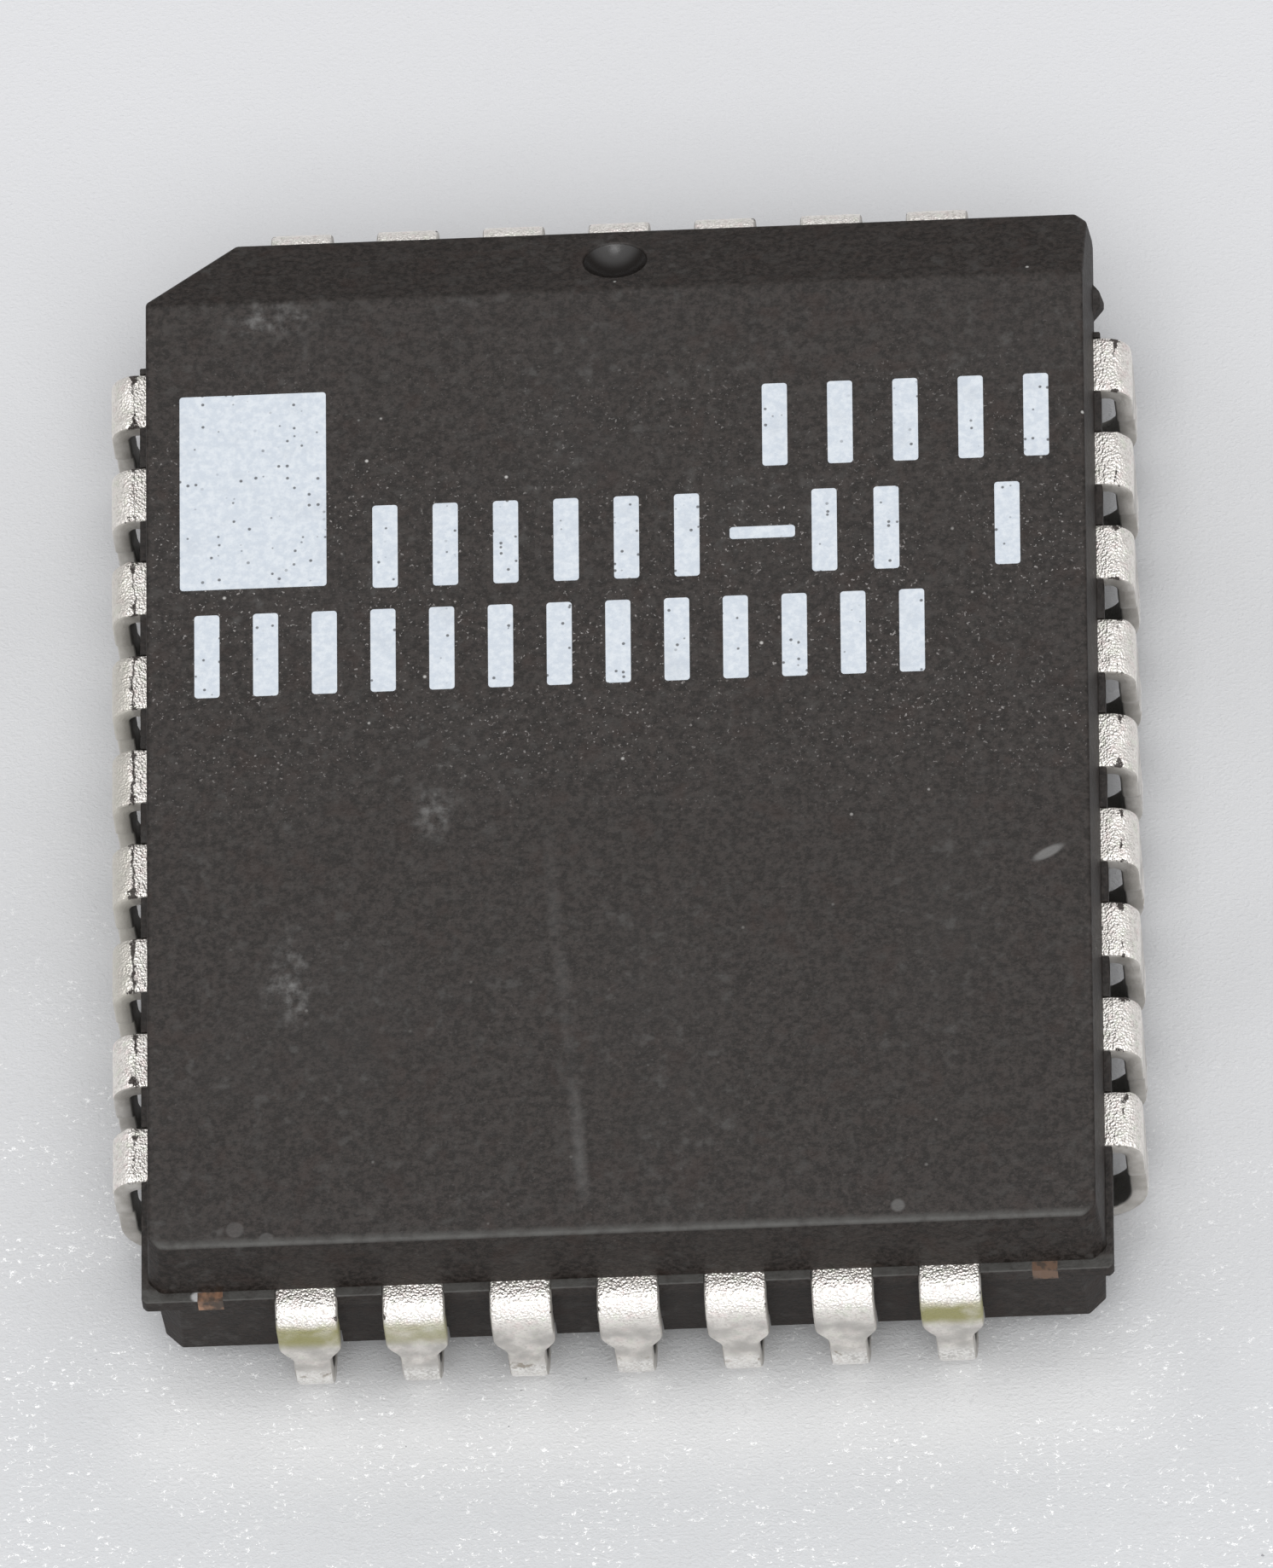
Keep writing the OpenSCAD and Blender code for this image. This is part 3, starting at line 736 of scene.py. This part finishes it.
def shade_flat_and_round(obj):
    """Shades rounded strips smoothly, and keeps each flat face flat up to its rim."""
    bm = bmesh.new()
    bm.from_mesh(obj.data)
    remove_slivers(bm, 0.0002 * MM)
    for face in bm.faces:
        face.smooth = True
    for edge in bm.edges:
        areas = sorted(face.calc_area() for face in edge.link_faces)
        angle = edge.calc_face_angle(0)
        flat_rim = areas[-1] > 0.02 * MM * MM and areas[-1] > 8 * areas[0] and angle > math.radians(1)
        edge.smooth = angle < math.radians(35) and not flat_rim
    bm.to_mesh(obj.data)
    bm.free()


def moulding(finish):
    """The moulded body, its edges rounded as a mould leaves them and its openings cut crisp."""
    base = upper_block()
    others = fin_blocks() + [lower_block(), gate_block()]
    for other in others:
        combine(base, other, "UNION")
    cutter = opening_cutter()
    combine(base, cutter, "DIFFERENCE")
    made = settle("epoxy_moulding", base)
    shade_flat_and_round(made)
    for scrap in [base, cutter] + others:
        bpy.data.objects.remove(scrap)
    dress(made, finish)
    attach(made, "root")
    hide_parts("moulded_body")


# Named inputs of the lead's geometry nodes, in millimetres and radians. Those at 0 are set for each lead.
LEAD_SIZES = {
    "Tip x": 0.0,
    "Tip shift": 0.0,
    "Tip width": TIP_W,
    "Turn x": -FINGER_IN,
    "Finger width": FINGER_W,
    "Anchor x": -ANCHOR_IN,
    "Shoulder width": SHOULDER_W,
    "Foot width": FOOT_W,
    "Sheet": SHEET,
    "Shoulder bend at": REACH - BEND_R,
    "Shoulder bend radius": BEND_R - SHEET / 2,
    "Foot bend at": 0.0,
    "Foot bend radius": FOOT_R - SHEET / 2,
    "Foot bend angle": math.pi / 2 + FOOT_CURL,
    "Narrow from": 0.0,
    "Narrow to": 0.0,
    "Strip end": 0.0,
    "Edge round": 0.045,
    "Lumps": 0.012,
    "Crack at": 0.0,
    "Cracked": 0.0,
    "Stain": 0.0,
    "Seed": 0.0,
}


def start_tree(name, sizes):
    """A geometry nodes tree with one named input for each size. Returns its recipe and those inputs."""
    tree = bpy.data.node_groups.new(name, "GeometryNodeTree")
    tree.interface.new_socket("Geometry", in_out="OUTPUT", socket_type="NodeSocketGeometry")
    for title, value in sizes.items():
        kind = "NodeSocketInt" if isinstance(value, int) else "NodeSocketFloat"
        tree.interface.new_socket(title, in_out="INPUT", socket_type=kind).default_value = value
    g = Recipe(tree)
    return g, g.add("NodeGroupInput").outputs


def end_tree(g, shape, material):
    shape = g.add("GeometryNodeRealizeInstances", {"Geometry": shape}).outputs[0]
    shape = g.add("GeometryNodeSetMaterial", {"Geometry": shape, "Material": material}).outputs[0]
    g.add("NodeGroupOutput", {0: shape})
    return g.tree


def run_nodes(tree, sizes):
    """An object whose geometry nodes have these sizes."""
    obj = link(bpy.data.objects.new("blank", bpy.data.meshes.new("blank")))
    step = obj.modifiers.new("shape", "NODES")
    step.node_group = tree
    for item in tree.interface.items_tree:
        if item.in_out == "INPUT" and item.name in sizes:
            step[item.identifier] = sizes[item.name]
    return obj


def formed_piece(name, tree, sizes, move):
    """A piece made by geometry nodes with these sizes and brought to its place."""
    blank = run_nodes(tree, sizes)
    made = settle(name, blank, move)
    bpy.data.objects.remove(blank)
    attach(made, "root")
    return made


def named(g, name):
    return g.add("GeometryNodeInputNamedAttribute", {"Name": name}, data_type="FLOAT").outputs[0]


def position(g):
    return g.add("GeometryNodeInputPosition").outputs[0]


def set_position(g, shape, place):
    return g.add("GeometryNodeSetPosition", {"Geometry": shape, "Position": place}).outputs[0]


def lead_geometry(material):
    """Geometry nodes that stamp a lead flat, plate it and form its two bends."""
    g, size = start_tree("Formed lead", LEAD_SIZES)
    shape = marked_blank(g, size)
    s, across, outward = named(g, "strip"), named(g, "across"), named(g, "outer")
    y, z = rounded_section(g, across, outward, strip_half_width(g, s, size), size)
    centre = g.ramp(s, size["Tip x"], size["Turn x"], size["Tip shift"], 0.0, smooth=False)
    shape = set_position(g, shape, g.joined(s, g.plus(y, centre), z))
    shape = plated(g, shape, s, outward, size)
    curled = bend(g, position(g), s, size["Foot bend at"], size["Foot bend radius"], size["Foot bend angle"])
    formed = bend(g, curled, s, size["Shoulder bend at"], size["Shoulder bend radius"], math.pi / 2)
    shape = set_position(g, shape, g.shifted(formed, (0, 0, SHOULDER_Z - SHEET / 2)))
    shape = g.add("GeometryNodeSetShadeSmooth", {"Geometry": shape}).outputs[0]
    return end_tree(g, shape, material)


def marked_blank(g, size):
    """A block that knows, at every point, where on the strip it lies and how the lead is worn."""
    grid = {"Size": (2, 2, 2), "Vertices X": 150, "Vertices Y": 13, "Vertices Z": 5}
    shape = g.add("GeometryNodeMeshCube", grid).outputs["Mesh"]
    u, v, w = g.parts(position(g))
    inner = g.ramp(u, -1.0, -0.88, size["Tip x"], size["Anchor x"], smooth=False)
    outer = g.ramp(u, -0.88, 1.0, 0.0, g.minus(size["Strip end"], size["Anchor x"]), smooth=False)
    strip = g.plus(inner, outer)
    stored = {"strip": strip, "across": v, "outer": w, "from_crack": g.minus(strip, size["Crack at"]),
              "cracked": size["Cracked"], "stain": size["Stain"]}
    for name, value in stored.items():
        store = {"Geometry": shape, "Name": name, "Value": value}
        shape = g.add("GeometryNodeStoreNamedAttribute", store, data_type="FLOAT", domain="POINT").outputs[0]
    return shape


def strip_half_width(g, s, size):
    """Half the stamped width along the strip: tip, finger, wide shoulder, narrow foot."""
    finger = g.ramp(s, size["Tip x"], size["Turn x"], size["Tip width"], size["Finger width"], smooth=False)
    anchor_edge = g.minus(size["Anchor x"], 0.01)
    past_anchor = g.ramp(s, anchor_edge, size["Anchor x"], smooth=False)
    shoulder = g.ramp(s, size["Narrow from"], size["Narrow to"], size["Shoulder width"], size["Foot width"])
    widen = g.times(g.minus(shoulder, finger), past_anchor)
    return g.times(g.plus(finger, widen), 0.5)


def rounded_section(g, across, outer, half_width, size):
    """Brings the square section of the blank to its width and thickness, with rounded edges."""
    half_sheet = g.times(size["Sheet"], 0.5)
    y = g.times(spread_to_edge(g, across, 5 / 6, 0.93), half_width)
    z = g.times(spread_to_edge(g, outer, 0.5, 0.72), half_sheet)
    room_y = g.minus(half_width, size["Edge round"])
    room_z = g.minus(half_sheet, size["Edge round"])
    core_y = g.clamped(y, g.times(room_y, -1.0), room_y)
    core_z = g.clamped(z, g.times(room_z, -1.0), room_z)
    off_y, off_z = g.minus(y, core_y), g.minus(z, core_z)
    square = g.plus(g.times(off_y, off_y), g.times(off_z, off_z))
    far = g.larger(g.calc("SQRT", square), 0.001)
    on_rim = g.larger(g.ramp(g.unsigned(across), 0.99, 1.0), g.ramp(g.unsigned(outer), 0.99, 1.0))
    wanted = g.minus(g.calc("DIVIDE", size["Edge round"], far), 1.0)
    pull = g.plus(g.times(wanted, on_rim), 1.0)
    return g.plus(core_y, g.times(off_y, pull)), g.plus(core_z, g.times(off_z, pull))


def spread_to_edge(g, value, inner, moved):
    """Moves the blank's even rows so that the last one inside the edge is close to it."""
    far = g.unsigned(value)
    inside = g.ramp(far, 0.0, inner, 0.0, moved, smooth=False)
    rest = g.ramp(far, inner, 1.0, 0.0, 1.0 - moved, smooth=False)
    return g.times(g.plus(inside, rest), g.calc("SIGN", value))


def plated(g, shape, s, outer, size):
    """Raises uneven plating on the part that shows, and a torn lip of it along the crack."""
    seeded = g.shifted(position(g), g.joined(g.times(size["Seed"], 5.7), size["Seed"], 0.0))
    fine = g.minus(g.noise(seeded, 6.0, 3.0), 0.5)
    from_crack = named(g, "from_crack")
    lip = g.times(g.ramp(from_crack, -0.02, 0.03), g.ramp(from_crack, 0.22, 0.05))
    lip = g.times(lip, g.ramp(outer, 0.4, 0.9), g.ramp(size["Cracked"], 0.0, 1.0))
    lump = g.times(g.ramp(g.noise(seeded, 4.0, 2.0), 0.42, 0.62), 0.035)
    high = g.plus(g.times(fine, size["Lumps"]), g.times(lip, lump))
    normal = g.add("GeometryNodeInputNormal").outputs[0]
    offset = g.scaled(normal, g.times(high, g.ramp(s, 0.02, 0.12)))
    return g.add("GeometryNodeSetPosition", {"Geometry": shape, "Offset": offset}).outputs[0]


def bend(g, place, s, start, radius, angle):
    """Bends the strip downwards from one point on, as a forming tool does."""
    x, y, z = g.parts(place)
    turn = g.clamped(g.calc("DIVIDE", g.minus(s, start), radius), 0.0, angle)
    rest = g.minus(g.minus(x, start), g.times(radius, turn))
    cosine, sine = g.calc("COSINE", turn), g.calc("SINE", turn)
    from_axis = g.plus(radius, z)
    out = g.plus(g.times(from_axis, sine), g.times(rest, cosine))
    up = g.minus(g.times(from_axis, cosine), g.times(rest, sine))
    return g.joined(g.plus(start, out), y, g.minus(up, radius))


def strip_lengths():
    """Where along the flat strip its formed features lie, from the shoulder line on."""
    bend_end = REACH - BEND_R + (BEND_R - SHEET / 2) * math.pi / 2
    foot_at = bend_end + SHOULDER_Z - BEND_R - FOOT_R
    return {
        "Foot bend at": foot_at,
        "Narrow from": bend_end + NARROW_FROM - BEND_R,
        "Narrow to": bend_end + NARROW_TO - BEND_R,
        "Strip end": foot_at + (FOOT_R - SHEET / 2) * (math.pi / 2 + FOOT_CURL),
    }


def finger_sizes(side, along):
    """How far in the tip of a lead's finger reaches, and how far the paddle's fan shifts it sideways."""
    half_w, half_l, edge = PADDLE_HALF_W, PADDLE_HALF_L, HALF_W
    if side in (FAR, NEAR):
        half_w, half_l, edge = PADDLE_HALF_L, PADDLE_HALF_W, HALF_L
    return {"Tip x": half_w + TIP_GAP - edge,
            "Tip shift": along * ((half_l - TIP_INSET) / row_half(side) - 1)}


def leads(finish):
    """All the leads, each its own piece."""
    tree = lead_geometry(finish)
    for number, side, along in lead_places():
        wear = {
            "Crack at": CRACK_AT[side],
            "Cracked": LESS_CRACKED.get(number, CRACKED[side]),
            "Stain": STAINED.get(number, 0.0),
            "Seed": float(number),
        }
        sizes = strip_lengths() | finger_sizes(side, along) | wear
        made = formed_piece(f"formed_lead_{number:02d}", tree, sizes, lead_move(side, along))
        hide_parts(f"lead_{number:02d}")


# Named inputs of the printed row's geometry nodes, in millimetres.
MARK_SIZES = {"Count": 5, "Step": 0.7, "Width": 0.3, "Height": 1.11, "Round": 0.04, "Thickness": 0.012}


def mark_geometry(material):
    """Geometry nodes for one row of plain upright bars of ink."""
    g, size = start_tree("Row of printed bars", MARK_SIZES)
    line = {"Width": size["Width"], "Height": size["Height"]}
    line = g.add("GeometryNodeCurvePrimitiveQuadrilateral", line).outputs[0]
    corners = {"Curve": line, "Radius": size["Round"], "Count": 5, "Limit Radius": True}
    outline = g.add("GeometryNodeFilletCurve", corners, mode="POLY").outputs[0]
    under = g.add("GeometryNodeFillCurve", {0: outline}, mode="NGONS").outputs[0]
    raised = {"Mesh": under, "Offset Scale": size["Thickness"], "Individual": False}
    raised = g.add("GeometryNodeExtrudeMesh", raised).outputs[0]
    layer = g.add("GeometryNodeJoinGeometry")
    for face in (raised, g.add("GeometryNodeFlipFaces", {0: under}).outputs[0]):
        g.tree.links.new(face, layer.inputs[0])
    closed = {"Geometry": layer.outputs[0], "Distance": 0.0001}
    bar = g.add("GeometryNodeMergeByDistance", closed).outputs[0]
    step = g.joined(size["Step"], 0.0, 0.0)
    row = g.add("GeometryNodeMeshLine", {"Count": size["Count"], "Offset": step}).outputs[0]
    marks = g.add("GeometryNodeInstanceOnPoints", {"Points": row, "Instance": bar}).outputs[0]
    return end_tree(g, marks, material)


def printing(finish):
    """Generic marks where the real chip has its print: a plain field, a dash and rows of bars."""
    tree = mark_geometry(finish)
    rows = [
        ("print_field", -5.2, 3.23, {"Count": 1, "Width": 1.75, "Height": 2.62}),
        ("print_row_far", 1.76, 3.87, {"Count": 5, "Step": 0.78}),
        ("print_row_middle", -2.9, 2.42, {"Count": 6, "Step": 0.72}),
        ("print_dash", 1.36, 2.42, {"Count": 1, "Width": 0.78, "Height": 0.16}),
        ("print_row_middle_end", 2.34, 2.42, {"Count": 2, "Step": 0.74}),
        ("print_single", 4.52, 2.42, {"Count": 1}),
        ("print_row_near", -5.03, 1.02, {"Count": 13, "Step": 0.7}),
    ]
    for name, left, middle, sizes in rows:
        first = left + sizes.get("Width", MARK_SIZES["Width"]) / 2
        sunk = TOP_Z - MARK_SIZES["Thickness"] / 2
        formed_piece(name, tree, sizes, Matrix.Translation((first, middle, sunk)))


def hidden_pieces():
    """Finishes of what lies inside the moulding."""
    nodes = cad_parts
    dress(nodes["die_paddle"], copper_finish())
    dress(nodes["die_adhesive"], adhesive_finish())
    dress(nodes["memory_die"], silicon_finish())
    gold = gold_finish()
    for side in ("right", "far", "left", "near"):
        dress(nodes["bond_wires_" + side], gold)


def paper_finish():
    """White sheet under the chip: matte, with fine crisp painted glints, painted shade beside them and dark
    crumbs in its near half, and soft painted glints toward its near end.
    """
    f = Finish("paper", roughness=0.55)
    flat = f.joined(f.x, f.times(f.y, 1.4), 0.0)
    near = f.ramp(f.plus(f.y, f.times(f.x, 0.25)), 1.0, -8.0)
    thread = f.unsigned(f.minus(f.noise(flat, 10.0, 3.0, 0.6), 0.5))
    short = f.ramp(f.noise(f.shifted(flat, (9.0, 0, 0)), 10.0, 2.0), 0.545, 0.645)
    patch = f.ramp(f.noise(flat, 0.9, 4.0, 0.6), 0.41, 0.55)
    glint = f.times(f.ramp(thread, 0.036, 0.014), short, patch)
    furrow_shade = f.times(f.ramp(thread, 0.08, 0.03), short)
    crumb = f.ramp(f.noise(f.shifted(flat, (5.0, 2.0, 0)), 6.5, 2.0), 0.76, 0.8)
    # Soft pale blobs toward the near end: painted blurred glints.
    soft = f.times(f.ramp(f.noise(flat, 3.2, 2.0), 0.58, 0.75), f.ramp(f.y, -7.0, -11.0))
    # Painted shade beside the glints, on the dark sides of the threads.
    shade = f.blend(f.times(furrow_shade, near, 0.35), paper_tone(f), rgb(0.47, 0.47, 0.475))
    # Painted glints: white along the threads in the near half.
    shade = f.blend(f.times(glint, near), shade, rgb(1.0, 1.0, 1.0))
    shade = f.blend(f.times(soft, 0.15), shade, rgb(0.8, 0.8, 0.8))
    f.color(f.blend(f.times(crumb, near), shade, rgb(0.25, 0.25, 0.26)))
    f.bump(thread, 0.02)
    return f.material


def paper_tone(f):
    """Faint clouds on the sheet, and painted light: paler and cooler toward its far end, a little darker and
    cooler across its near half, and paler close in front of the chip against its shadow.
    """
    cloud = f.noise(f.place, 0.25, 2.0)
    shade = f.blend(f.ramp(cloud, 0.3, 0.7), rgb(0.565, 0.568, 0.578), rgb(0.607, 0.611, 0.622))
    # Painted light: paler toward the far end.
    shade = f.blend(f.ramp(f.y, 2.0, 12.0), shade, rgb(0.612, 0.614, 0.628))
    # Painted light: a little darker across the near half.
    shade = f.blend(f.times(f.ramp(f.y, -4.0, -10.0), 0.8), shade, rgb(0.568, 0.577, 0.588))
    # Painted light: paler just in front of the chip, against the shadow it casts there.
    in_front = f.times(f.ramp(f.y, -6.2, -7.4), f.ramp(f.y, -9.0, -7.7))
    in_front = f.times(in_front, f.ramp(f.unsigned(f.x), 6.8, 5.2))
    return f.blend(f.times(in_front, 0.7), shade, rgb(0.7, 0.7, 0.7))


def floor():
    """The sheet that the chip lies on."""
    bm = bmesh.new()
    bmesh.ops.create_grid(bm, x_segments=8, y_segments=8, size=1.5)
    made = mesh_object("floor", bm)
    dress(made, paper_finish())


def looking_from(azimuth, elevation):
    """The direction from the chip toward a viewer or a lamp; azimuth 0 is the near side."""
    a, e = math.radians(azimuth), math.radians(elevation)
    return Vector((math.sin(a) * math.cos(e), -math.cos(a) * math.cos(e), math.sin(e)))


def soft_lamp(name, azimuth, elevation, distance, size, power):
    """A square soft box that faces the chip, in degrees, metres and watts."""
    lamp = bpy.data.lights.new(name, "AREA")
    lamp.size = size
    lamp.energy = power
    obj = link(bpy.data.objects.new(name, lamp))
    toward = looking_from(azimuth, elevation)
    obj.location = toward * distance
    obj.rotation_euler = toward.to_track_quat("Z", "Y").to_euler()


def daylight():
    """Pale surroundings, brighter behind the viewer, a small lamp overhead and a large soft box."""
    world = bpy.data.worlds.new("surroundings")
    bpy.context.scene.world = world
    world.use_nodes = True
    r = Recipe(world.node_tree)
    _, away, up = r.parts(r.add("ShaderNodeTexCoord").outputs["Generated"])
    horizon = r.blend(r.ramp(away, 0.4, -0.4), rgb(0.34, 0.34, 0.34), rgb(0.66, 0.66, 0.66))
    shade = r.blend(r.ramp(up, 0.05, 0.8), horizon, rgb(0.95, 0.955, 0.965))
    background = world.node_tree.nodes["Background"]
    r.feed(background.inputs["Color"], shade)
    r.feed(background.inputs["Strength"], r.ramp(away, -0.8, 0.5, 1.2, 0.9))
    soft_lamp("lamp", 186, 83, distance=0.6, size=0.11, power=0.3)
    soft_lamp("overhead", 5, 58, distance=0.6, size=0.42, power=1.5)


def camera():
    """The photograph's viewpoint, in degrees, metres and, for the lens, millimetres."""
    azimuth, roll = math.radians(6.75), math.radians(-8.13)
    back = looking_from(6.75, 61.84)
    right = Vector((math.cos(azimuth), math.sin(azimuth), 0))
    up = back.cross(right)
    turned_right = right * math.cos(roll) + up * math.sin(roll)
    turned_up = up * math.cos(roll) - right * math.sin(roll)
    lens = bpy.data.cameras.new("camera")
    lens.sensor_fit = "VERTICAL"
    lens.sensor_height = 36
    # The lens is as long as this many of the image's 1838 rows.
    lens.lens = 46831 * lens.sensor_height / 1838
    lens.clip_start = 0.01
    lens.clip_end = 20
    obj = link(bpy.data.objects.new("camera", lens))
    aim = Vector((0.00016, -0.00036, SHOULDER_Z * MM))
    turn = Matrix((turned_right, turned_up, back)).transposed().to_4x4()
    obj.matrix_world = Matrix.Translation(aim + back * 0.4751) @ turn
    bpy.context.scene.camera = obj


bpy.context.scene.view_settings.view_transform = "Standard"
camera()
daylight()
floor()
moulding(moulding_finish())
leads(tin_finish())
printing(ink_finish())
hidden_pieces()
